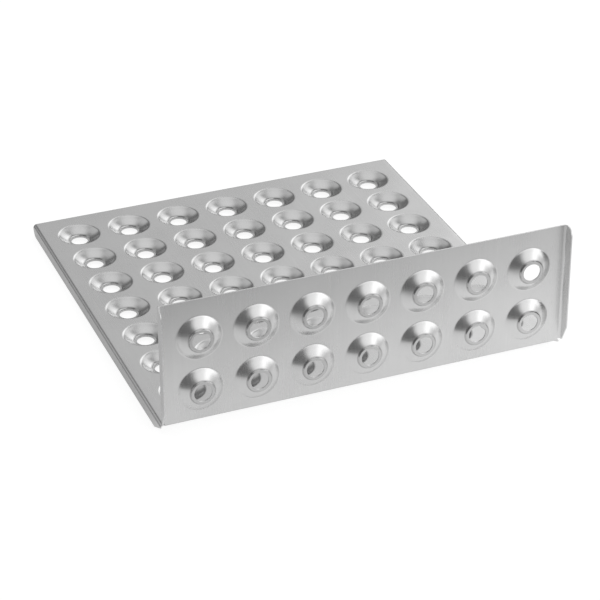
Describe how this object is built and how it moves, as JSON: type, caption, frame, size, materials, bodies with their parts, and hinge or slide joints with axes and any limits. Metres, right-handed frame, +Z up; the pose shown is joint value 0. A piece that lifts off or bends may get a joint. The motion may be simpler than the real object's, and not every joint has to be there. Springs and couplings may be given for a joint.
{
  "type": "dimpled baguette tray",
  "caption": "Folded sheet-metal tray with an upright front wall, narrow side flanges and a square grid of dimples with a round hole in each crown.",
  "frame": {"origin": "centre of the tray's footprint, on the level of the plate flanges' lower edges", "axes": "+Z up; -Y towards the upright wall at the front; X along the fold, from one side flange to the other"},
  "size_m": [0.282, 0.2994, 0.096],
  "materials": {
    "sheet": "satin mill finish with a fine brushed grain"
  },
  "bodies": {
    "root": {"tray_sheet": "sheet"}
  },
  "joints": []
}
